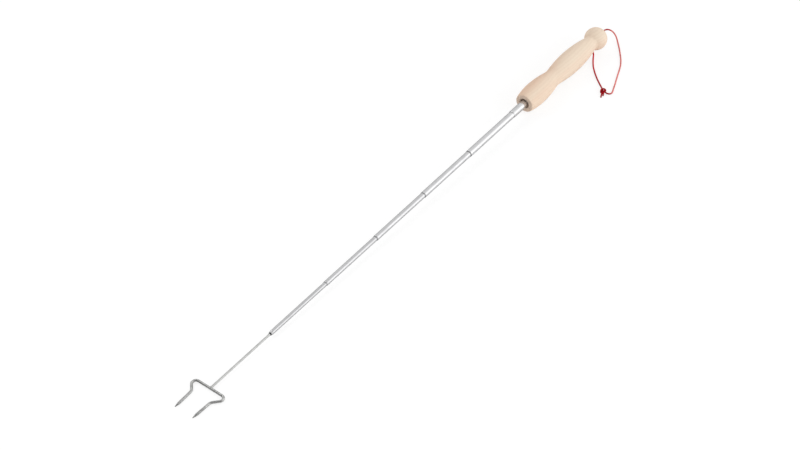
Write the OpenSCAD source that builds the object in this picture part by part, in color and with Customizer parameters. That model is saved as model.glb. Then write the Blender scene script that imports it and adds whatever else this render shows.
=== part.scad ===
// Campfire roasting fork with a telescopic shaft.
// The shaft is drawn along +X: distances along it count from the prong points.
// It is then laid down as it rests on a table, on its prongs and on the front belly of the handle.

/* [Handle] */
// Diameter of the belly next to the tubes
front_belly_d = 30; // [27:0.5:34]
// Distance of that belly's widest place from the front face
front_belly_x = 24; // [20:0.5:28]
// Arc radius of the profile from the front face to the front belly
nose_arc_r = 106; // [80:1:140]
// Arc radius of the profile behind the front belly
front_belly_arc_r = 160; // [130:1:200]
// Diameter of the belly next to the pommel
rear_belly_d = 29.2; // [26:0.2:33]
// Distance of that belly's widest place from the front face
rear_belly_x = 102; // [96:1:110]
// Arc radius of the profile of the rear belly
rear_belly_arc_r = 214; // [180:1:260]
// Radius of the hollow that blends the two bellies
waist_blend_r = 32; // [15:1:45]
// Diameter of the ball at the end of the handle
pommel_d = 30; // [26:0.5:34]
// Distance of the ball's centre from the front face
pommel_x = 161; // [156:0.5:166]
// Radius of the hollow between the rear belly and the ball
neck_blend_r = 4; // [2:0.5:8]
// Radius that rounds the edge of the front face
face_edge_r = 1.5; // [0.5:0.1:3]
// Diameter of the wide hole in the front face
mouth_hole_d = 14.4; // [12:0.2:18]
// Depth of the wide hole in the front face
mouth_hole_depth = 12; // [6:0.5:20]
// Diameter of the hole for the thong in the ball's end
pole_hole_d = 4.4; // [4.2:0.1:5.5]
// Diameter of the cross hole for the thong in the neck
neck_hole_d = 4; // [3.6:0.1:4.1]
// Distance of the cross hole for the thong from the front face
neck_hole_x = 148; // [144:0.5:150]
// Turn of the cross hole away from straight down
neck_hole_turn = 30; // [0:1:50]
// Width of the bevel at the mouths of the thong holes
thong_bevel = 0.8; // [0.3:0.1:1.2]

/* [Tubes] */
// Outer diameter of the tube that is fixed in the handle
outer_tube_d = 9.6; // [9:0.1:11]
// Wall thickness of every tube
tube_wall = 0.25; // [0.2:0.01:0.3]
// Gap between one tube and the next, on each side
slide_gap = 0.2; // [0.16:0.01:0.26]
// Length of the outer tube that shows in front of the handle
outer_exposed = 27; // [22:1:40]
// Length of each sliding tube that shows when it is pulled out, without the nose
stage_exposed = 90; // [70:1:110]
// Length of the first sliding tube that stays inside the outer tube
first_overlap = 20; // [18:0.5:30]
// Length by which each mouth stands proud when the nest is shut
mouth_proud = 1.5; // [1:0.1:3]
// Length of the drawn-in ring at each mouth
lip_len = 1; // [0.8:0.1:2]
// Length over which the wall tapers into that ring
taper_len = 0.5; // [0.4:0.1:1.5]
// Running clearance between a drawn-in ring and the tube inside it
lip_clearance = 0.04; // [0.02:0.01:0.06]
// Glue gap between the outer tube and its hole in the handle
glue_gap = 0.05; // [0.02:0.01:0.1]
// Length of the plug in the rear end of the outer tube
plug_len = 6; // [4:0.5:10]

/* [Friction springs] */
// Length of the split springs
spring_len = 12; // [8:0.5:14]
// Clearance of the springs from the two tubes they lie between
spring_clearance = 0.02; // [0.01:0.005:0.03]
// Angle of each slot between the two half springs
spring_slot = 14; // [6:1:30]
// Diameter of the pip that keys each half spring to its tube
pip_d = 1.2; // [0.8:0.1:1.6]
// Play left at each stop when a tube is pulled out
stop_play = 0.2; // [0.1:0.05:0.4]

/* [Rod] */
// Diameter of the rod
rod_d = 2.5; // [2.2:0.1:2.8]
// Distance from the nose of the thinnest tube to the middle of the cross bar
rod_exposed = 96.8; // [80:0.2:115]
// Clearance of the rod and of the stop bush from what they run in
run_clearance = 0.05; // [0.03:0.01:0.08]
// Diameter of the opening in the nose of the thinnest tube
nose_hole_d = 3.4; // [3.2:0.05:3.6]
// Diameter of the nose of the thinnest tube
nose_d = 4.4; // [4.2:0.1:4.8]
// Length over which the thinnest tube narrows to its nose
nose_len = 3.2; // [2:0.1:5]
// Radius that rounds the front edge of the nose
nose_round_r = 0.5; // [0.4:0.05:0.6]
// Diameter of the black ring that shows at the nose
ring_d = 3.9; // [3.6:0.05:4.2]
// Thickness of the black ring that shows at the nose
ring_len = 1; // [0.6:0.1:1.6]
// Length of the black bush behind the narrowed nose
bush_stem_len = 1.5; // [1:0.1:4]
// Length of the brass stop bush
stop_bush_len = 7; // [5:0.5:10]
// Diameter of the rod's end inside the stop bush
journal_d = 1.8; // [1.5:0.1:2]
// Diameter of the riveted head that holds the stop bush
rivet_d = 2.8; // [2.4:0.1:3.2]
// Thickness of the riveted head
rivet_len = 0.8; // [0.5:0.1:1.2]
// Width of the weld where the rod meets the cross bar
weld_w = 0.4; // [0.2:0.1:0.6]
// Length of the weld along the rod
weld_len = 1.6; // [1:0.1:3]

/* [Fork] */
// Diameter of the fork's wire
wire_d = 3; // [2.6:0.1:3.4]
// Widest distance between the middles of the two shoulders
shoulder_width = 42.4; // [38:0.2:50]
// Bend radius of the wire's middle line at the shoulders
shoulder_r = 4.4; // [3.4:0.1:6]
// Angle by which the wire runs inwards from the shoulders
shoulder_angle = 43; // [35:1:50]
// Distance between the middles of the prongs where they begin
prong_spacing = 26.6; // [22:0.2:32]
// Bend radius of the wire's middle line where the prongs begin
prong_bend_r = 7; // [4:0.2:9]
// Angle by which the prongs lean inwards
toe_in = 2; // [0:0.5:4]
// Distance from the middle of the cross bar to the prong points
prong_len = 41; // [36:0.5:55]
// Length of the ground points
point_len = 6; // [4:0.5:9]
// Diameter of the blunt end of the points
point_tip_d = 0.8; // [0.3:0.1:1]

/* [Thong] */
// Diameter of the thong
thong_d = 2; // [1.6:0.1:2.2]
// Bend radius of the thong inside the handle
thong_bend_r = 4; // [3:0.2:5]
// Play between the thong and the wall of its holes
thong_play = 0.1; // [0.05:0.05:0.2]
// Diameter of the knot
knot_d = 6; // [5:0.2:7]
// Length of the two tails of the knot
tail_len = 9; // [6:0.5:12]

/* [Hidden] */
STAGES = 5;
$fn = 64;

// Colours
beech = [0.90, 0.79, 0.65];
steel = [0.80, 0.81, 0.82];
dark_steel = [0.62, 0.63, 0.65];
bronze = [0.76, 0.56, 0.30];
brass = [0.84, 0.70, 0.36];
black = [0.09, 0.09, 0.09];
red = [0.55, 0.05, 0.07];

// Radii of the handle
front_r = front_belly_d / 2;
rear_r = rear_belly_d / 2;
pommel_r = pommel_d / 2;
mouth_hole_r = mouth_hole_d / 2;
pole_hole_r = pole_hole_d / 2;
neck_hole_r = neck_hole_d / 2;

// Sliding tubes, number 0 is the outer tube and number 5 the thinnest
radius_step = tube_wall + slide_gap;
function tube_r(k) = outer_tube_d / 2 - k * radius_step;
function tube_bore_r(k) = tube_r(k) - tube_wall;
function overlap(k) = first_overlap + (k - 1) * mouth_proud;
function tube_len(k) = stage_exposed + overlap(k);
nest_depth = tube_len(1) - mouth_proud;
outer_tube_len = nest_depth + plug_len;
spring_front = lip_len + taper_len + stop_play;

// Rod and its bushes, lengths from the nose of the thinnest tube
rod_r = rod_d / 2;
journal_r = journal_d / 2;
nose_r = nose_d / 2;
bore_5_r = tube_bore_r(STAGES);
bush_end = nose_len + bush_stem_len;
stop_bush_front = bush_end + stop_play;
journal_start = stop_bush_front - run_clearance;
journal_end = stop_bush_front + stop_bush_len + run_clearance;
journal_len = journal_end - journal_start;
rod_end = journal_end + rivet_len;

// Fork wire
wire_r = wire_d / 2;
prong_bend = shoulder_angle - toe_in;
shoulder_turn = 90 + shoulder_angle;
cross_half = shoulder_width / 2 - shoulder_r;
shoulder_drop = shoulder_r * (1 - sin(shoulder_turn));
prong_bend_drop = prong_bend_r * (cos(toe_in) - cos(shoulder_angle));
slope_drop = (shoulder_width - prong_spacing) / 2 - shoulder_drop - prong_bend_drop;
slope_len = slope_drop / sin(shoulder_angle);
shoulder_reach = shoulder_r * (1 - cos(shoulder_turn));
prong_bend_reach = prong_bend_r * (sin(shoulder_angle) - sin(toe_in));
prong_start = shoulder_reach + slope_len * cos(shoulder_angle) + prong_bend_reach;
prong_straight = (prong_len - prong_start) / cos(toe_in) - point_len;

// Joins of the bent wire
join_rise = 0.02;
join_gap = 0.05;

// Length by which a hole is cut past the face it opens through
overrun = 1;

// Places along the shaft, from the prong points
cross_x = prong_len;
nose_x = cross_x + rod_exposed;
function tube_x(k) = nose_x + nose_len + (STAGES - k) * stage_exposed;
face_x = tube_x(0) + outer_exposed;
pole_mouth_r = pole_hole_r + thong_bevel;
pommel_end = face_x + pommel_x + sqrt(pommel_r * pommel_r - pole_mouth_r * pole_mouth_r);

// Tilt of the shaft as it rests: the point where the ground prong begins and the nose arc
// of the front belly touch the table together
belly_reach = face_x + front_belly_x - point_len;
belly_rise = nose_arc_r - front_r + wire_r;
tilt = atan2(belly_reach, belly_rise) - acos(nose_arc_r / norm([belly_reach, belly_rise]));
rest_z = wire_r * cos(tilt) - point_len * sin(tilt);
low_x = -point_tip_d / 2 * sin(tilt);
high_x = pommel_end * cos(tilt) + pole_mouth_r * sin(tilt);

module lay() {
    translate([-(low_x + high_x) / 2, 0, rest_z]) rotate([0, -tilt, 0]) children();
}

// A shape turned about the shaft: its profile has the radius across and the length up
module turned(x) {
    translate([x, 0, 0]) rotate([0, 90, 0]) rotate_extrude() children();
}

module rod_along(x, r, len) {
    translate([x, 0, 0]) rotate([0, 90, 0]) cylinder(r = r, h = len);
}

// Wood: the profile is a chain of arcs, each given by its centre [radius, length]
nose_arc_c = [front_r - nose_arc_r, front_belly_x];
front_arc_c = [front_r - front_belly_arc_r, front_belly_x];
rear_arc_c = [rear_r - rear_belly_arc_r, rear_belly_x];
pommel_c = [0, pommel_x];
arc_steps = 16;
edge_x = sqrt(pow(nose_arc_r - face_edge_r, 2) - pow(front_belly_x - face_edge_r, 2));
edge_c = [nose_arc_c.x + edge_x, face_edge_r];
edge_end = nose_arc_c + (edge_c - nose_arc_c) * nose_arc_r / (nose_arc_r - face_edge_r);

// Centre of the arc of radius r that touches two round arcs from outside
function blend_c(c1, r1, c2, r2, r) =
    let (d = norm(c2 - c1), a = r1 + r, b = r2 + r)
    let (u = (a * a - b * b + d * d) / (2 * d), v = sqrt(a * a - u * u))
    let (e = (c2 - c1) / d)
    c1 + e * u + [e.y, -e.x] * v;

waist_c = blend_c(front_arc_c, front_belly_arc_r, rear_arc_c, rear_belly_arc_r, waist_blend_r);
neck_c = blend_c(rear_arc_c, rear_belly_arc_r, pommel_c, pommel_r, neck_blend_r);

// Points of the shorter arc about c, from one point up to, but without, another
function arc_points(c, from, to) =
    let (first = atan2(from.y - c.y, from.x - c.x), last = atan2(to.y - c.y, to.x - c.x))
    let (sweep = (last - first + 540) % 360 - 180)
    [for (i = [0:arc_steps - 1])
        let (angle = first + sweep * i / arc_steps)
        c + norm(from - c) * [cos(angle), sin(angle)]];

// Point of the arc about c of radius r that lies towards another centre
function arc_end(c, r, other) = c + (other - c) * r / norm(other - c);

waist_start = arc_end(front_arc_c, front_belly_arc_r, waist_c);
waist_end = arc_end(rear_arc_c, rear_belly_arc_r, waist_c);
neck_start = arc_end(rear_arc_c, rear_belly_arc_r, neck_c);
neck_end = arc_end(pommel_c, pommel_r, neck_c);

module handle_profile() {
    polygon(concat(
        [[0, 0]],
        arc_points(edge_c, [edge_c.x, 0], edge_end),
        arc_points(nose_arc_c, edge_end, [front_r, front_belly_x]),
        arc_points(front_arc_c, [front_r, front_belly_x], waist_start),
        arc_points(waist_c, waist_start, waist_end),
        arc_points(rear_arc_c, waist_end, neck_start),
        arc_points(neck_c, neck_start, neck_end),
        arc_points(pommel_c, neck_end, [0, pommel_x + pommel_r]),
        [[0, pommel_x + pommel_r]]
    ));
}

neck_r = neck_c.x - neck_blend_r;
neck_x = face_x + neck_hole_x;
pole_depth = pommel_end - neck_x;

module place_neck_hole() {
    translate([neck_x, 0, 0]) rotate([180 - neck_hole_turn, 0, 0]) children();
}

// A hole for the thong along +Z, out through the wood and bevelled where it comes out
module thong_hole(r, from, to) {
    translate([0, 0, from]) cylinder(r = r, h = to - from);
    translate([0, 0, to - thong_bevel]) cylinder(r1 = r, r2 = r + thong_bevel, h = thong_bevel);
    translate([0, 0, to]) cylinder(r = r + thong_bevel, h = pommel_r);
}

module handle() {
    color(beech) lay() difference() {
        turned(face_x) handle_profile();
        rod_along(face_x - overrun, mouth_hole_r, mouth_hole_depth + overrun);
        rod_along(face_x, tube_r(0) + glue_gap, outer_tube_len - outer_exposed + glue_gap);
        translate([neck_x, 0, 0]) rotate([0, 90, 0])
            thong_hole(pole_hole_r, -neck_hole_r - overrun, pole_depth);
        place_neck_hole() thong_hole(neck_hole_r, -pole_hole_r / 2, neck_r);
    }
}

// Steel tubes. Their profiles have the radius across and the distance from the mouth up.
module drawn_profile(k, len) {
    lip_r = tube_r(k + 1) + lip_clearance;
    r = tube_r(k);
    body_start = lip_len + taper_len;
    translate([lip_r + tube_wall / 2, tube_wall / 2]) circle(tube_wall / 2);
    polygon([
        [lip_r, tube_wall / 2], [lip_r + tube_wall, tube_wall / 2], [lip_r + tube_wall, lip_len],
        [r, body_start], [r, len], [r - tube_wall, len], [r - tube_wall, body_start], [lip_r, lip_len]
    ]);
}

// A round bar that narrows from radius r to a nose of radius end_r with a rounded edge
module narrowed_end(end_r, r, round_r, from, to) {
    translate([end_r - round_r, from + round_r]) circle(round_r);
    polygon([
        [0, from], [end_r - round_r, from], [end_r, from + round_r], [r, nose_len], [r, to], [0, to]
    ]);
}

module nosed_profile(k, len) {
    difference() {
        narrowed_end(nose_r, tube_r(k), nose_round_r, 0, len);
        narrowed_end(nose_r - tube_wall, tube_bore_r(k), nose_round_r - tube_wall, tube_wall, len + overrun);
        translate([0, -overrun]) square([nose_hole_d / 2, tube_wall + 2 * overrun]);
    }
}

module outer_tube() {
    color(steel) lay() turned(tube_x(0)) drawn_profile(0, outer_tube_len);
}

module tube_plug() {
    color(black) lay() rod_along(tube_x(0) + nest_depth, tube_bore_r(0) - spring_clearance, plug_len);
}

// Springs of stage k lie just behind the mouth of the tube outside it when it is pulled out
function spring_x(k) = tube_x(k - 1) + spring_front;
function pip_x(k) = spring_x(k) + spring_len / 2;

module sliding_tube(k) {
    color(steel) lay() difference() {
        if (k < STAGES) turned(tube_x(k)) drawn_profile(k, tube_len(k));
        else turned(nose_x) nosed_profile(k, nose_len + tube_len(k));
        translate([pip_x(k), -outer_tube_d, 0]) rotate([-90, 0, 0])
            cylinder(d = pip_d + 2 * run_clearance, h = 2 * outer_tube_d);
    }
}

module half_spring(k) {
    inner_r = tube_r(k) + spring_clearance;
    outer_r = tube_bore_r(k - 1) - spring_clearance;
    rotate([0, 90, 0]) rotate([0, 0, spring_slot / 2]) rotate_extrude(angle = 180 - spring_slot)
        translate([inner_r, 0]) square([outer_r - inner_r, spring_len]);
    translate([spring_len / 2, tube_bore_r(k), 0]) rotate([-90, 0, 0])
        cylinder(d = pip_d, h = (inner_r + outer_r) / 2 - tube_bore_r(k));
}

module friction_spring(k) {
    color(bronze) lay() translate([spring_x(k), 0, 0]) {
        half_spring(k);
        mirror([0, 1, 0]) half_spring(k);
    }
}

// Black bush: a round ring outside the nose, a waist in the opening, a stem inside the tube
module mouth_bush() {
    bore = rod_r + run_clearance;
    ring_r = ring_len / 2;
    waist = nose_hole_d / 2 - spring_clearance;
    stem = bore_5_r - run_clearance;
    stem_front = nose_r - tube_wall - run_clearance;
    color(black) lay() turned(nose_x) difference() {
        union() {
            translate([ring_d / 2 - ring_r, -ring_r]) circle(ring_r);
            polygon([
                [0, -ring_len], [ring_d / 2 - ring_r, -ring_len], [ring_d / 2 - ring_r, 0], [waist, 0],
                [waist, tube_wall], [stem_front, tube_wall + stem_front - waist], [stem, nose_len],
                [stem, bush_end], [0, bush_end]
            ]);
        }
        translate([0, -ring_len - overrun]) square([bore, ring_len + bush_end + 2 * overrun]);
    }
}

module stop_bush() {
    color(brass) lay() difference() {
        rod_along(nose_x + stop_bush_front, bore_5_r - run_clearance, stop_bush_len);
        rod_along(nose_x + stop_bush_front - overrun, journal_r + run_clearance, stop_bush_len + 2 * overrun);
    }
}

module rod() {
    color(steel) lay() difference() {
        union() {
            rod_along(cross_x, rod_r, rod_exposed + journal_start);
            rod_along(nose_x + journal_start - overrun, journal_r, overrun + journal_len + rivet_len / 2);
            rod_along(nose_x + journal_end, rivet_d / 2, rivet_len);
            translate([cross_x + wire_r / 2, 0, 0]) rotate([0, 90, 0])
                cylinder(r1 = rod_r + weld_w, r2 = rod_r, h = wire_r / 2 + weld_len);
        }
        translate([cross_x, -wire_d, 0]) rotate([-90, 0, 0]) cylinder(r = wire_r, h = 2 * wire_d);
    }
}

// Bent wire: each piece is drawn from the origin along +X, and what follows starts at its end.
// A ball a hair wider than the wire closes each join between a straight and a bend.
module straight(r, len) {
    translate([join_gap, 0, 0]) rotate([0, 90, 0]) cylinder(r = r, h = len - 2 * join_gap);
    translate([len, 0, 0]) children();
}

module join(r) {
    rotate([0, 90, 0]) sphere(r + join_rise);
    children();
}

// A bend to the left by an angle, or to the right by a negative one
module bend(r, bend_r, angle) {
    turn_side = angle > 0 ? 1 : -1;
    join(r) translate([0, turn_side * bend_r, 0]) {
        rotate([0, 0, angle > 0 ? -90 : 90 + angle]) rotate_extrude(angle = abs(angle))
            translate([bend_r, 0]) circle(r);
        rotate([0, 0, angle]) translate([0, -turn_side * bend_r, 0]) join(r) children();
    }
}

module prong() {
    translate([join_gap, 0, 0]) rotate([0, 90, 0]) cylinder(r = wire_r, h = prong_straight - join_gap);
    translate([prong_straight, 0, 0]) rotate([0, 90, 0])
        cylinder(r1 = wire_r, r2 = point_tip_d / 2, h = point_len);
}

module half_fork() {
    translate([0, cross_half, 0]) rotate([0, 0, 90])
        bend(wire_r, shoulder_r, shoulder_turn) straight(wire_r, slope_len)
        bend(wire_r, prong_bend_r, -prong_bend) prong();
}

module fork_head() {
    color(dark_steel) lay() translate([cross_x, 0, 0]) {
        translate([0, -cross_half, 0]) rotate([0, 0, 90]) straight(wire_r, 2 * cross_half);
        half_fork();
        mirror([0, 1, 0]) half_fork();
    }
}

// Thong. Inside the handle it runs from the ball's end towards the neck, close to the far
// side of each hole, and bends out through the neck.
thong_r = thong_d / 2;
thong_offset = neck_hole_r - thong_r - thong_play;
bend_reach = thong_bend_r - thong_offset;

module thong_inner() {
    color(red) lay() place_neck_hole()
        translate([-thong_offset, 0, neck_r - thong_bevel]) rotate([90, 90, 0])
        straight(thong_r, neck_r - thong_bevel - bend_reach) bend(thong_r, thong_bend_r, 90)
        straight(thong_r, pole_depth - thong_bevel - bend_reach);
}

// Free thong: middle lines in the frame of the finished fork, one strand from the ball's end
// and one from the neck, both lying on the table and ending in the knot
LONG_ROUTE = [
    [396.5, 0.5, 19], [401.5, 0.5, 18.8], [406.4, 0, 17.8], [410.8, -1.4, 15.9], [414.4, -3.6, 12.9],
    [416.4, -6.6, 9.4], [416.4, -10, 5.8], [414, -13.8, 2.9], [409.8, -18, 1.4], [404.6, -22.8, 1],
    [398.2, -28, 1], [390.8, -33.8, 1], [382.8, -39.6, 1], [374, -44.8, 1], [365, -48.8, 1],
    [356, -52.4, 1], [346.6, -56.2, 1], [337, -60.2, 1], [328.9, -63.3, 1], [322.1, -66, 1],
    [318.7, -66.3, 1], [316.1, -64.8, 1.2], [314.7, -62.2, 1.8], [314.6, -59.2, 2.6]
];
SHORT_ROUTE = [
    [368.3, -4.6, 9.7], [367.9, -6.3, 7], [366.8, -7.8, 4.3], [364.2, -9.3, 2.3], [360.2, -11.8, 1.2],
    [354.8, -15.4, 1], [349.4, -19.4, 1], [344.5, -23.8, 1], [339.4, -28.7, 1], [334.6, -33.8, 1],
    [330, -39, 1], [325.2, -45, 1], [320.8, -50.4, 1.4], [317, -54.4, 2.6]
];
KNOT_PLACE = [315, -56.8, 3];
TAIL_TURNS = [16, 36];
cord_sides = 8;
steps_per_span = 2;

// Points of a smooth line through the route's own points
function spline_point(p, i, t) =
    let (a = p[max(i - 1, 0)], b = p[i], c = p[i + 1], d = p[min(i + 2, len(p) - 1)])
    (2 * b + (c - a) * t + (2 * a - 5 * b + 4 * c - d) * t * t + (3 * b - a - 3 * c + d) * t * t * t) / 2;

function smooth_line(p) = concat(
    [for (i = [0:len(p) - 2]) for (j = [0:steps_per_span - 1]) spline_point(p, i, j / steps_per_span)],
    [p[len(p) - 1]]
);

function unit(v) = v / norm(v);

function ring_points(p, i, r) =
    let (along = unit(p[min(i + 1, len(p) - 1)] - p[max(i - 1, 0)]))
    let (side = unit(cross(along, [0, 0, 1])), above = cross(side, along))
    [for (j = [0:cord_sides - 1])
        let (angle = j * 360 / cord_sides)
        p[i] + r * (cos(angle) * side + sin(angle) * above)];

module cord(route) {
    line = smooth_line(route);
    last = len(line) - 1;
    points = [for (i = [0:last]) each ring_points(line, i, thong_r)];
    start_cap = [for (j = [cord_sides - 1:-1:0]) j];
    end_cap = [for (j = [0:cord_sides - 1]) last * cord_sides + j];
    walls = [for (i = [0:last - 1]) for (j = [0:cord_sides - 1])
        let (a = i * cord_sides + j, b = i * cord_sides + (j + 1) % cord_sides)
        [a, b, b + cord_sides, a + cord_sides]];
    polyhedron(points, concat([start_cap, end_cap], walls));
}

module thong_long() {
    color(red) cord(LONG_ROUTE);
}

module thong_short() {
    color(red) cord(SHORT_ROUTE);
}

// Three turns of cord side by side, and two tails that come down to the table
module thong_knot() {
    wrap_r = knot_d / 2 - thong_r;
    wrap_pitch = thong_r * 1.6;
    tail_drop = asin((KNOT_PLACE.z - thong_r) / tail_len);
    color(red) translate(KNOT_PLACE) {
        rotate([0, -90, 0]) rotate_extrude() {
            for (turn = [-1:1])
                translate([wrap_r - abs(turn) * thong_r / 4, turn * wrap_pitch]) circle(thong_r);
            translate([0, -thong_r * 2]) square([wrap_r, thong_r * 4]);
        }
        for (turn = TAIL_TURNS) rotate([0, 0, turn]) rotate([0, -90 - tail_drop, 0])
            cylinder(r = thong_r, h = tail_len);
    }
}

handle();
outer_tube();
tube_plug();
for (k = [1:STAGES]) sliding_tube(k);
for (k = [1:STAGES]) friction_spring(k);
mouth_bush();
stop_bush();
rod();
fork_head();
thong_inner();
thong_long();
thong_short();
thong_knot();
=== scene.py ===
import math

import bmesh
import bpy
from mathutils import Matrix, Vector


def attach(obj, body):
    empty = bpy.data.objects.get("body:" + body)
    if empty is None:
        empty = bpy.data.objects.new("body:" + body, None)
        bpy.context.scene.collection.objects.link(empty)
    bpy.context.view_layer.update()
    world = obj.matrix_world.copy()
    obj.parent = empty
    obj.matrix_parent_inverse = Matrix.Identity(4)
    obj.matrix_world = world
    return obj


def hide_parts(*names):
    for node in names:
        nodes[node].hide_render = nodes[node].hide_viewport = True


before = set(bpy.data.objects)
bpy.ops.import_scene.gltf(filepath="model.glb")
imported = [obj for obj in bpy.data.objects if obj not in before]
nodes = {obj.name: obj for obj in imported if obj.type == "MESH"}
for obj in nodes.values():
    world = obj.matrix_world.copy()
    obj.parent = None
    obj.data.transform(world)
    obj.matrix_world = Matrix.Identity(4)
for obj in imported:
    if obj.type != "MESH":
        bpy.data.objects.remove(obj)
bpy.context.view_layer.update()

# The camera looks down on the fork from the side of the prongs, with a long lens and from two
# metres off, so that the shaft runs across the picture with little perspective.
look_at = Vector((-0.0337, -0.0032, 0.0))
camera_azimuth = math.radians(-52.08)
camera_elevation = math.radians(43.69)
camera_distance = 2.02
camera = bpy.data.objects.new("camera", bpy.data.cameras.new("camera"))
camera.data.sensor_width = 36.0
camera.data.lens = 78.2
camera.data.clip_start = 0.1
camera.data.clip_end = 60.0
towards_camera = Vector((
    math.sin(camera_azimuth) * math.cos(camera_elevation),
    -math.cos(camera_azimuth) * math.cos(camera_elevation),
    math.sin(camera_elevation),
))
camera.location = look_at + towards_camera * camera_distance
camera.rotation_euler = (-towards_camera).to_track_quat("-Z", "Y").to_euler()
bpy.context.scene.collection.objects.link(camera)
bpy.context.scene.camera = camera
bpy.context.scene.view_settings.view_transform = "Standard"

# The thong is a round lace of dyed leather, 2 mm thick. It runs through the ball of the handle
# and comes out at its end and under its neck, and both strands lie on the table up to the knot.
lace_r = 0.001
lace_steps = 6
LONG_ROUTE = [
    (396.5, 0.5, 19), (401.5, 0.5, 18.8), (406.4, 0, 17.8), (410.8, -1.4, 15.9), (414.4, -3.6, 12.9),
    (416.4, -6.6, 9.4), (416.4, -10, 5.8), (414, -13.8, 2.9), (409.8, -18, 1.4), (404.6, -22.8, 1),
    (398.2, -28, 1), (390.8, -33.8, 1), (382.8, -39.6, 1), (374, -44.8, 1), (365, -48.8, 1),
    (356, -52.4, 1), (346.6, -56.2, 1), (337, -60.2, 1), (328.9, -63.3, 1), (322.1, -66, 1),
    (318.7, -66.3, 1), (316.1, -64.8, 1.2), (314.7, -62.2, 1.8), (314.6, -59.2, 2.6),
]
SHORT_ROUTE = [
    (368.3, -4.6, 9.7), (367.9, -6.3, 7), (366.8, -7.8, 4.3), (364.2, -9.3, 2.3), (360.2, -11.8, 1.2),
    (354.8, -15.4, 1), (349.4, -19.4, 1), (344.5, -23.8, 1), (339.4, -28.7, 1), (334.6, -33.8, 1),
    (330, -39, 1), (325.2, -45, 1), (320.8, -50.4, 1.4), (317, -54.4, 2.6),
]


def smooth_line(points, steps):
    """Points of a smooth line through the given ones, with so many steps from each to the next."""
    line = []
    for i in range(len(points) - 1):
        a, b = points[max(i - 1, 0)], points[i]
        c, d = points[i + 1], points[min(i + 2, len(points) - 1)]
        for step in range(steps):
            t = step / steps
            line.append(b + (c - a) * t / 2 + (2 * a - 5 * b + 4 * c - d) * t**2 / 2
                        + (3 * b - a - 3 * c + d) * t**3 / 2)
    return line + [points[-1]]


def lace_along(name, lines):
    """A mesh of round lace that follows one line or more, with closed ends."""
    curve = bpy.data.curves.new(name, "CURVE")
    curve.dimensions = "3D"
    curve.bevel_depth = lace_r
    curve.bevel_resolution = 4
    curve.use_fill_caps = True
    for line in lines:
        spline = curve.splines.new("POLY")
        spline.points.add(len(line) - 1)
        for point, place in zip(spline.points, line):
            point.co = (*place, 1.0)
        spline.use_smooth = True
    drawn = bpy.data.objects.new(name, curve)
    bpy.context.scene.collection.objects.link(drawn)
    bpy.context.view_layer.update()
    mesh = bpy.data.meshes.new_from_object(drawn.evaluated_get(bpy.context.evaluated_depsgraph_get()))
    bpy.data.objects.remove(drawn)
    lace = bpy.data.objects.new(name, mesh)
    mesh.shade_smooth()
    bpy.context.scene.collection.objects.link(lace)
    return lace


def new_finish(name):
    """A material, its node tree and its shader."""
    material = bpy.data.materials.new(name)
    material.use_nodes = True
    return material, material.node_tree, material.node_tree.nodes["Principled BSDF"]


def node(tree, kind, takes=None, **settings):
    """A node of that kind; takes gives its inputs, as numbers or as other nodes' outputs."""
    made = tree.nodes.new("ShaderNode" + kind)
    for name, value in settings.items():
        setattr(made, name, value)
    feed(tree, made, takes or {})
    return made


def feed(tree, made, takes):
    for name, value in takes.items():
        if isinstance(value, bpy.types.NodeSocket):
            tree.links.new(value, made.inputs[name])
        else:
            made.inputs[name].default_value = value


def ramp(tree, factor, stops):
    """A colour ramp with the given (position, grey or colour) stops."""
    made = tree.nodes.new("ShaderNodeValToRGB")
    tree.links.new(factor, made.inputs["Fac"])
    elements = made.color_ramp.elements
    while len(elements) < len(stops):
        elements.new(0.5)
    for element, (position, colour) in zip(elements, stops):
        element.position = position
        element.color = (*(colour if isinstance(colour, tuple) else (colour,) * 3), 1.0)
    return made.outputs["Color"]


def leather(name, dark, light, deep_from, deep_to):
    """Dyed leather with fine creases, a deeper red along X from deep_from to deep_to, and painted shade near the
    ball's end.
    """
    material, tree, shader = new_finish(name)
    place = node(tree, "TexCoord").outputs["Object"]
    dye = node(tree, "TexNoise", {"Vector": place, "Scale": 260.0, "Detail": 5.0}).outputs["Fac"]
    creases = node(tree, "TexNoise", {"Vector": place, "Scale": 3000.0, "Detail": 3.0}).outputs["Fac"]
    part = node(tree, "SeparateXYZ", {"Vector": place})
    near_knot = node(tree, "MapRange", {
        "Value": part.outputs["X"], "From Min": deep_from, "From Max": deep_to, "To Min": 1.0, "To Max": 0.0,
    }).outputs["Result"]
    # Painted shade: towards the ball's end the lace is mixed to the deep red.
    ball_shade = node(tree, "MapRange", {
        "Value": part.outputs["Z"], "From Min": 0.013, "From Max": 0.017, "To Min": 0.0, "To Max": 0.8,
    }).outputs["Result"]
    shade = node(tree, "MixRGB", {
        "Fac": node(tree, "Math", {0: near_knot, 1: ball_shade}, operation="MAXIMUM").outputs[0],
        "Color1": ramp(tree, dye, [(0.3, dark), (0.7, light)]), "Color2": (*deep_red_and_shade, 1.0),
    }).outputs["Color"]
    feed(tree, shader, {
        "Base Color": node(tree, "MixRGB", {
            "Fac": 1.0, "Color1": shade, "Color2": ramp(tree, creases, [(0.32, 0.84), (0.56, 1.0)]),
        }, blend_type="MULTIPLY").outputs["Color"],
        "Roughness": ramp(tree, creases, [(0.3, 0.36), (0.7, 0.58)]),
        "Normal": node(tree, "Bump", {"Height": creases, "Strength": 0.6, "Distance": 0.0003}).outputs["Normal"],
        "Specular IOR Level": 0.10,
    })
    return material


# The leather is dyed a deep red. It is a deeper red in the knot and along the short strand towards it, painted shade
# darkens it where it comes out of the ball's end, and the long strand is painted lighter and pinker as a painted
# highlight.
deep_red_and_shade = (0.39, 0.004, 0.010)
dyed_leather = leather("dyed_leather", (0.54, 0.004, 0.012), (0.80, 0.012, 0.026), 0.319, 0.352)
# The long strand's lighter, pinker colour is a painted highlight.
painted_highlight_leather = leather("painted_highlight_leather", (0.68, 0.155, 0.143), (0.91, 0.305, 0.283), 0.3150, 0.3195)

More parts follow.
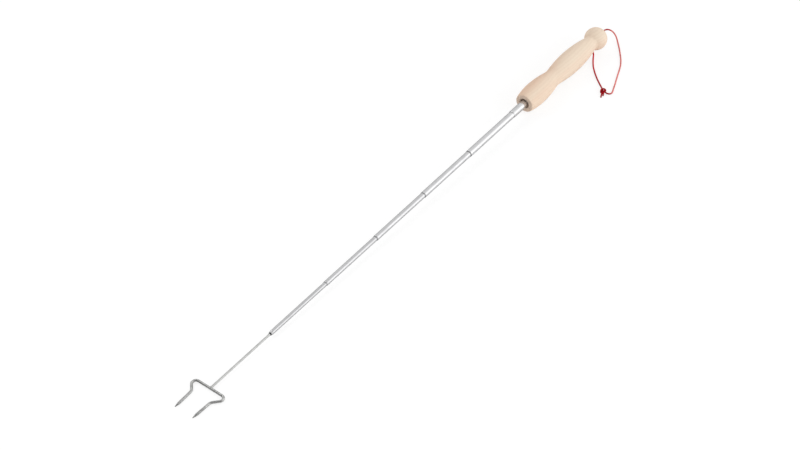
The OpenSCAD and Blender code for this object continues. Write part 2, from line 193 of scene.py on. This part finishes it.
long_line = smooth_line([Vector(p) / 1000 for p in LONG_ROUTE], lace_steps)
short_line = smooth_line([Vector(p) / 1000 for p in SHORT_ROUTE], lace_steps)


# In the knot the short strand goes straight through, and the long one is wound round it and
# tucked under its own turn. Both ends come out beside each other. The lines are in millimetres
# from the middle of the knot: to the right, up and above the table.
knot_middle = Vector((0.3150, -0.0566, 0.0))
knot_right = Vector((0.614, -0.789, 0.0))
knot_up = Vector((0.789, 0.614, 0.0))
THROUGH = [
    (-0.5, 2.9, 2.6), (-0.7, 1.4, 2.5), (-1.1, -0.4, 2.4), (-1.5, -2.6, 2.2), (-2.3, -5.2, 1.6),
    (-3.1, -8.0, 1.05), (-3.6, -10.5, 1.0),
]
WOUND = [
    (1.8, -1.9, 2.6), (3.0, 0.2, 2.8), (2.4, 1.9, 3.6), (0.3, 2.1, 4.4), (-2.0, 1.3, 4.0),
    (-3.05, -0.3, 2.9), (-2.7, -1.6, 1.2), (-0.6, -1.7, 1.0), (1.3, -0.8, 1.4), (1.7, 0.5, 3.2),
    (0.9, -1.2, 4.0), (0.2, -3.6, 2.8), (-0.3, -5.6, 1.4), (-0.7, -7.3, 1.0),
]


def in_knot(points):
    """A smooth line through points that are given from the middle of the knot."""
    return smooth_line([
        knot_middle + (knot_right * right + knot_up * up) / 1000 + Vector((0, 0, height / 1000))
        for right, up, height in points
    ], lace_steps)


knot = lace_along("thong_knot_tied", [in_knot(THROUGH), in_knot(WOUND)])
knot.data.materials.append(dyed_leather)
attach(knot, "grip")
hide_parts("thong_knot")

long_strand = lace_along("thong_long_strand", [long_line])
long_strand.data.materials.append(painted_highlight_leather)
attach(long_strand, "grip")
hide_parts("thong_long")

short_strand = lace_along("thong_short_strand", [short_line])
short_strand.data.materials.append(dyed_leather)
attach(short_strand, "grip")
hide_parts("thong_short")
nodes["thong_inner"].data.materials.clear()
nodes["thong_inner"].data.materials.append(dyed_leather)

# The table is a plain white sheet that runs out of the picture. The camera sees it almost
# without a shadow, and steel mirrors it as it is, darker close under the tubes.
sheet_half = 6.0
sheet = bmesh.new()
bmesh.ops.create_grid(sheet, x_segments=1, y_segments=1, size=sheet_half)
floor = bpy.data.objects.new("floor", bpy.data.meshes.new("floor"))
sheet.to_mesh(floor.data)
sheet.free()
bpy.context.scene.collection.objects.link(floor)
white_sheet, tree, shader = new_finish("white_sheet")
tree.nodes.remove(shader)
ray = node(tree, "LightPath")
mirrored = node(tree, "Math", {
    0: ray.outputs["Is Glossy Ray"], 1: ray.outputs["Is Transmission Ray"],
}, operation="ADD").outputs[0]
seen_light = node(tree, "Math", {0: ray.outputs["Is Camera Ray"], 1: 0.80}, operation="MULTIPLY").outputs[0]
own_light = node(tree, "Math", {0: mirrored, 1: 0.05, 2: seen_light}, operation="MULTIPLY_ADD").outputs[0]
paper_white = node(tree, "MixRGB", {
    "Fac": ray.outputs["Is Camera Ray"], "Color1": (0.86, 0.86, 0.86, 1.0), "Color2": (0.25, 0.25, 0.25, 1.0),
}).outputs["Color"]
paper = node(tree, "BsdfDiffuse", {"Color": paper_white})
glow = node(tree, "Emission", {"Color": (1.0, 1.0, 1.0, 1.0), "Strength": own_light})
both = node(tree, "AddShader", {0: paper.outputs[0], 1: glow.outputs[0]})
feed(tree, tree.nodes["Material Output"], {"Surface": both.outputs[0]})
floor.data.materials.append(white_sheet)

# The room is palest low on the right of the handle and dark beyond the prongs, so that each
# tube shows one bright band and one grey one, and a pale window high on the left is seen in
# the wire of the fork. Three wide lamps light the wood and the leather.
bright_side = Vector((0.50, -0.85, 0.20)).normalized()
window_side = Vector((0.03, 0.69, 0.72)).normalized()
world = bpy.data.worlds.new("studio")
bpy.context.scene.world = world
world.use_nodes = True
tree = world.node_tree
way = node(tree, "TexCoord").outputs["Generated"]
towards_bright = node(tree, "VectorMath", {0: way, 1: tuple(bright_side)}, operation="DOT_PRODUCT")
bright_share = node(tree, "MapRange", {
    "Value": towards_bright.outputs["Value"], "From Min": -1.0, "From Max": 1.0,
}).outputs["Result"]
wall_light = ramp(tree, bright_share, [(0.0, 0.44), (0.67, 0.47), (0.87, 0.60), (0.96, 0.84), (1.0, 1.0)])
towards_handle = node(tree, "SeparateXYZ", {"Vector": way}).outputs["X"]
prong_side = node(tree, "MapRange", {
    "Value": towards_handle, "From Min": -0.5, "From Max": 0.45, "To Min": 0.28, "To Max": 1.0,
}).outputs["Result"]
room_light = node(tree, "VectorMath", {0: wall_light, 1: prong_side}, operation="MULTIPLY").outputs["Vector"]
towards_window = node(tree, "VectorMath", {0: way, 1: tuple(window_side)}, operation="DOT_PRODUCT")
window_light = node(tree, "MapRange", {
    "Value": towards_window.outputs["Value"], "From Min": 0.86, "From Max": 0.97, "To Min": 0.0, "To Max": 0.60,
}).outputs["Result"]
all_light = node(tree, "VectorMath", {0: room_light, 1: window_light}, operation="ADD").outputs["Vector"]
feed(tree, tree.nodes["Background"], {"Color": all_light, "Strength": 1.5})

lamp_away = 2.2
for name, way, energy in (
    ("right_lamp", (0.20, -0.90, 0.38), 14.0),
    ("left_lamp", (-0.30, 0.72, 0.62), 10.0),
    ("front_lamp", (-0.90, -0.25, 0.36), 12.0),
):
    lamp = bpy.data.objects.new(name, bpy.data.lights.new(name, "AREA"))
    lamp.data.size = 1.2
    lamp.data.energy = energy
    lamp_towards = Vector(way).normalized()
    lamp.location = look_at + lamp_towards * lamp_away
    lamp.rotation_euler = (-lamp_towards).to_track_quat("-Z", "Y").to_euler()
    lamp.visible_glossy = False
    bpy.context.scene.collection.objects.link(lamp)

# The handle is turned from one length of beech, sanded and left bare. Its front is bored for
# the outer tube, and a hole for the thong runs from the end of the ball to the neck.
shaft_tilt = math.radians(1.21816)
beech_cream = (0.92, 0.775, 0.62)
beech_pink_and_shade = (0.84, 0.60, 0.45)
beech_front_and_shade = (0.74, 0.57, 0.45)
bore_painted_light = (0.97, 0.80, 0.67)
wood = bmesh.new()
wood.from_mesh(nodes["handle"].data)
bmesh.ops.remove_doubles(wood, verts=wood.verts, dist=1e-6)
sharp_from = math.radians(25)
for edge in wood.edges:
    edge.smooth = not (len(edge.link_faces) == 2 and edge.calc_face_angle(0.0) > sharp_from)
for face in wood.faces:
    face.smooth = True
handle = bpy.data.objects.new("turned_handle", bpy.data.meshes.new("turned_handle"))
wood.to_mesh(handle.data)
wood.free()
bpy.context.scene.collection.objects.link(handle)
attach(handle, "grip")
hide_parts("handle")

beech, tree, shader = new_finish("bare_beech")
coordinates = node(tree, "TexCoord")
along = node(tree, "Mapping", {
    "Vector": coordinates.outputs["Object"], "Rotation": (0.0, shaft_tilt, 0.0),
}).outputs["Vector"]
grain_way = node(tree, "Mapping", {"Vector": along, "Scale": (0.12, 1.0, 1.0)}).outputs["Vector"]
wander = node(tree, "TexNoise", {"Vector": grain_way, "Scale": 26.0, "Detail": 3.0}).outputs["Fac"]
from_pith = node(tree, "Mapping", {
    "Vector": along, "Scale": (0.0, 1.0, 1.0), "Location": (0.0, 0.052, 0.070),
}).outputs["Vector"]
pith_distance = node(tree, "VectorMath", {0: from_pith}, operation="LENGTH").outputs["Value"]
ring_place = node(tree, "Math", {0: wander, 1: 0.011, 2: pith_distance}, operation="MULTIPLY_ADD").outputs[0]
ring_turn = node(tree, "Math", {0: ring_place, 1: 2200.0}, operation="MULTIPLY").outputs[0]
rings = node(tree, "Math", {0: ring_turn}, operation="SINE").outputs[0]
ring_share = node(tree, "MapRange", {"Value": rings, "From Min": -1.0, "From Max": 1.0}).outputs["Result"]
blotch = node(tree, "TexNoise", {"Vector": grain_way, "Scale": 60.0, "Detail": 2.0}).outputs["Fac"]
pore_way = node(tree, "Mapping", {"Vector": along, "Scale": (0.16, 1.0, 1.0)}).outputs["Vector"]
pores = node(tree, "TexNoise", {"Vector": pore_way, "Scale": 1500.0, "Detail": 2.0}).outputs["Fac"]
pore_mask = ramp(tree, pores, [(0.60, 0.0), (0.70, 1.0)])
# Painted shade: the timber is pinker and darker along one side of the front belly, and creamier towards the ball; the
# pink blotches at random are the timber's own.
part = node(tree, "SeparateXYZ", {"Vector": along})
towards_front = node(tree, "MapRange", {
    "Value": part.outputs["X"], "From Min": 0.245, "From Max": 0.315, "To Min": 1.0, "To Max": 0.25,
}).outputs["Result"]
towards_left = node(tree, "MapRange", {
    "Value": part.outputs["Y"], "From Min": -0.008, "From Max": 0.004, "To Min": 0.15, "To Max": 1.0,
}).outputs["Result"]
shaded_side = node(tree, "Math", {0: towards_front, 1: towards_left}, operation="MULTIPLY").outputs[0]
blotches = ramp(tree, blotch, [(0.40, 0.0), (0.62, 0.35)])
pink_and_shade = node(tree, "Math", {0: shaded_side, 1: 0.95, 2: blotches}, operation="MULTIPLY_ADD")
pink_and_shade.use_clamp = True
beech_mix = node(tree, "MixRGB", {
    "Fac": pink_and_shade.outputs[0], "Color1": (*beech_cream, 1.0), "Color2": (*beech_pink_and_shade, 1.0),
}).outputs["Color"]
ringed = node(tree, "MixRGB", {
    "Fac": ramp(tree, ring_share, [(0.0, 0.0), (0.85, 0.12), (1.0, 0.18)]), "Color1": beech_mix,
    "Color2": (0.74, 0.56, 0.41, 1.0),
}).outputs["Color"]
flecked = node(tree, "MixRGB", {
    "Fac": node(tree, "Math", {0: pore_mask, 1: 0.14}, operation="MULTIPLY").outputs[0],
    "Color1": ringed, "Color2": (0.46, 0.31, 0.21, 1.0),
}).outputs["Color"]
# Painted shade with the end grain: faces that look towards the prongs are darker, partly as end grain and partly as
# the shade on that side.
facing_front = node(tree, "VectorMath", {
    0: coordinates.outputs["Normal"], 1: (-math.cos(shaft_tilt), 0.0, -math.sin(shaft_tilt)),
}, operation="DOT_PRODUCT").outputs["Value"]
end_grain_shade = ramp(tree, facing_front, [(0.70, 0.0), (0.96, 1.0)])
coloured = node(tree, "MixRGB", {
    "Fac": end_grain_shade, "Color1": flecked, "Color2": (*beech_front_and_shade, 1.0),
}).outputs["Color"]
# Painted light: the wall and the bottom of the wide hole are painted paler than the rest, against the shade in the
# hole.
off_axis = node(tree, "Mapping", {
    "Vector": along, "Scale": (0.0, 1.0, 1.0), "Location": (0.0, 0.0, -0.0098),
}).outputs["Vector"]
within_hole = node(tree, "MapRange", {
    "Value": node(tree, "VectorMath", {0: off_axis}, operation="LENGTH").outputs["Value"],
    "From Min": 0.0073, "From Max": 0.0075, "To Min": 1.0, "To Max": 0.0,
}).outputs["Result"]
above_bottom = node(tree, "Math", {0: part.outputs["X"], 1: 0.2340}, operation="LESS_THAN").outputs[0]
bored = node(tree, "Math", {0: within_hole, 1: above_bottom}, operation="MULTIPLY").outputs[0]
coloured = node(tree, "MixRGB", {
    "Fac": bored, "Color1": coloured, "Color2": (*bore_painted_light, 1.0),
}).outputs["Color"]
feed(tree, shader, {
    "Base Color": coloured,
    "Roughness": ramp(tree, blotch, [(0.3, 0.50), (0.7, 0.62)]),
    "Normal": node(tree, "Bump", {"Height": pores, "Strength": 0.10, "Distance": 0.0002}).outputs["Normal"],
    "Specular IOR Level": 0.30,
})
handle.data.materials.append(beech)

# Fine lines along the shaft and faint handling marks, for every metal piece. Lines is how strongly the drawing lines
# show, and Polish is how smooth the metal is between them. The rim output is a band of painted shade, the shadow in
# the drawn-in mouth of a tube, and Mouth says where that is along the shaft.
drawn_lines = bpy.data.node_groups.new("drawn_lines", "ShaderNodeTree")
for name, default in (("Lines", 0.5), ("Polish", 0.2), ("Mouth", 1.0)):
    drawn_lines.interface.new_socket(name, in_out="INPUT", socket_type="NodeSocketFloat").default_value = default
for name in ("Roughness", "Height", "Dulled", "Rim_shade"):
    drawn_lines.interface.new_socket(name, in_out="OUTPUT", socket_type="NodeSocketFloat")
given = drawn_lines.nodes.new("NodeGroupInput")
result = drawn_lines.nodes.new("NodeGroupOutput")
along = node(drawn_lines, "Mapping", {
    "Vector": node(drawn_lines, "TexCoord").outputs["Object"], "Rotation": (0.0, shaft_tilt, 0.0),
}).outputs["Vector"]
stretched = node(drawn_lines, "Mapping", {"Vector": along, "Scale": (0.02, 1.0, 1.0)}).outputs["Vector"]
lines = node(drawn_lines, "TexNoise", {"Vector": stretched, "Scale": 5200.0, "Detail": 3.0}).outputs["Fac"]
marks = node(drawn_lines, "TexNoise", {"Vector": along, "Scale": 90.0, "Detail": 4.0}).outputs["Fac"]
marks_share = node(drawn_lines, "MapRange", {
    "Value": marks, "From Min": 0.35, "From Max": 0.75,
}).outputs["Result"]
line_part = node(drawn_lines, "Math", {0: lines, 1: given.outputs["Lines"]}, operation="MULTIPLY").outputs[0]
rough = node(drawn_lines, "Math", {0: line_part, 1: 0.16, 2: given.outputs["Polish"]}, operation="MULTIPLY_ADD")
rougher = node(drawn_lines, "Math", {0: marks_share, 1: 0.07, 2: rough.outputs[0]}, operation="MULTIPLY_ADD")
drawn_lines.links.new(rougher.outputs[0], result.inputs["Roughness"])
drawn_lines.links.new(line_part, result.inputs["Height"])
drawn_lines.links.new(marks_share, result.inputs["Dulled"])
along_shaft = node(drawn_lines, "SeparateXYZ", {"Vector": along}).outputs["X"]
past_mouth = node(drawn_lines, "Math", {0: along_shaft, 1: given.outputs["Mouth"]}, operation="SUBTRACT").outputs[0]
off_rim = node(drawn_lines, "Math", {0: past_mouth, 1: 0.0005}, operation="SUBTRACT").outputs[0]
rim_away = node(drawn_lines, "Math", {0: off_rim}, operation="ABSOLUTE").outputs[0]
rim = node(drawn_lines, "MapRange", {
    "Value": rim_away, "From Min": 0.0006, "From Max": 0.0010, "To Min": 1.0, "To Max": 0.0,
}).outputs["Result"]
drawn_lines.links.new(rim, result.inputs["Rim_shade"])


def metal(name, bright, dull, lines_shown, polish, mouth=1.0, mouth_shade=0.0):
    """A metal with the drawing lines, between a bright and a dull colour, with painted shade at its mouth."""
    material, tree, shader = new_finish(name)
    surface = tree.nodes.new("ShaderNodeGroup")
    surface.node_tree = drawn_lines
    feed(tree, surface, {"Lines": lines_shown, "Polish": polish, "Mouth": mouth})
    shaded_mouth_colour = node(tree, "MixRGB", {
        "Fac": node(tree, "Math", {0: surface.outputs["Rim_shade"], 1: mouth_shade}, operation="MULTIPLY").outputs[0],
        "Color1": ramp(tree, surface.outputs["Dulled"], [(0.0, bright), (1.0, dull)]),
        "Color2": (0.03, 0.03, 0.03, 1.0),
    }).outputs["Color"]
    feed(tree, shader, {
        "Base Color": shaded_mouth_colour,
        "Metallic": 1.0,
        "Specular Tint": (0.35, 0.35, 0.36, 1.0),
        "Roughness": surface.outputs["Roughness"],
        "Normal": node(tree, "Bump", {
            "Height": surface.outputs["Height"], "Strength": 0.10, "Distance": 0.00005,
        }).outputs["Normal"],
    })
    return material


def give(material, names):
    for name in names:
        nodes[name].data.materials.clear()
        nodes[name].data.materials.append(material)


# The tubes are thin stainless steel, drawn bright. Each mouth is drawn in over the next tube, and only the thinnest
# one has a closed nose with the rod's bush in it. A band of painted shade darkens each drawn-in mouth, and the
# thinner a tube is, the darker its steel.
first_mouth = 0.194333
tube_step = 0.090
for k, (shine, mouth_shade) in enumerate(((1.0, 0.1), (1.0, 0.65), (0.95, 0.5), (0.90, 0.5), (0.85, 0.35), (0.79, 0.0))):
    steel = metal(
        f"tube_steel_{k}", (0.86 * shine, 0.86 * shine, 0.87 * shine), (0.78 * shine, 0.78 * shine, 0.79 * shine),
        0.5, 0.16, first_mouth - k * tube_step, mouth_shade,
    )
    give(steel, [f"tube_{k}" if k else "outer_tube"])

# The rod and the fork are plain stainless wire, a little darker than the tubes. The fork's wire is bent to shape,
# ground to points and welded to the rod, and it is darker from its points up.
wire_steel = metal("plain_wire_steel", (0.64, 0.64, 0.63), (0.54, 0.54, 0.53), 0.7, 0.20)
give(wire_steel, ["rod"])
fork_steel = metal("fork_wire_steel", (0.68, 0.68, 0.67), (0.56, 0.56, 0.55), 0.7, 0.22)
tree = fork_steel.node_tree
shader = tree.nodes["Principled BSDF"]
plain = shader.inputs["Base Color"].links[0].from_socket
place = node(tree, "TexCoord").outputs["Object"]
from_points = node(tree, "MapRange", {
    "Value": node(tree, "SeparateXYZ", {"Vector": place}).outputs["X"], "From Min": -0.3968, "From Max": -0.3638,
}).outputs["Result"]
patches = node(tree, "TexNoise", {"Vector": place, "Scale": 520.0, "Detail": 2.0}).outputs["Fac"]
darker_to_points = ramp(tree, from_points, [(0.06, 0.66), (0.22, 0.74), (0.45, 0.84), (0.62, 1.0)])
uneven = ramp(tree, patches, [(0.40, 0.66), (0.60, 1.0)])
darkened_at_points = node(tree, "MixRGB", {"Fac": 1.0, "Color1": plain, "Color2": darker_to_points}, blend_type="MULTIPLY").outputs["Color"]
feed(tree, shader, {
    "Base Color": node(tree, "MixRGB", {
        "Fac": 1.0, "Color1": darkened_at_points, "Color2": uneven,
    }, blend_type="MULTIPLY").outputs["Color"],
})
give(fork_steel, ["fork_head"])

# The split springs inside the tubes are thin rolled bronze, and the rod's stop bush is turned
# brass. They show only where a cut or an open end lets one look in.
spring_bronze = metal("spring_bronze", (0.72, 0.50, 0.26), (0.60, 0.41, 0.22), 0.8, 0.26)
give(spring_bronze, [f"friction_spring_{k}" for k in range(1, 6)])
turned_brass = metal("turned_brass", (0.82, 0.66, 0.32), (0.72, 0.57, 0.28), 0.3, 0.22)
give(turned_brass, ["stop_bush"])

# The bush in the nose is moulded black rubber with a round lip outside, and the plug at the
# rear of the outer tube is black plastic.
for name, black, rough_low, rough_high, piece in (
    ("black_rubber", (0.016, 0.016, 0.017), 0.55, 0.75, "mouth_bush"),
    ("black_plastic", (0.022, 0.022, 0.023), 0.38, 0.52, "tube_plug"),
):
    moulded, tree, shader = new_finish(name)
    place = node(tree, "TexCoord").outputs["Object"]
    skin = node(tree, "TexNoise", {"Vector": place, "Scale": 1400.0, "Detail": 3.0}).outputs["Fac"]
    feed(tree, shader, {
        "Base Color": ramp(tree, skin, [(0.2, black), (0.9, tuple(2 * part for part in black))]),
        "Roughness": ramp(tree, skin, [(0.3, rough_low), (0.7, rough_high)]),
        "Normal": node(tree, "Bump", {"Height": skin, "Strength": 0.2, "Distance": 0.00005}).outputs["Normal"],
    })
    give(moulded, [piece])
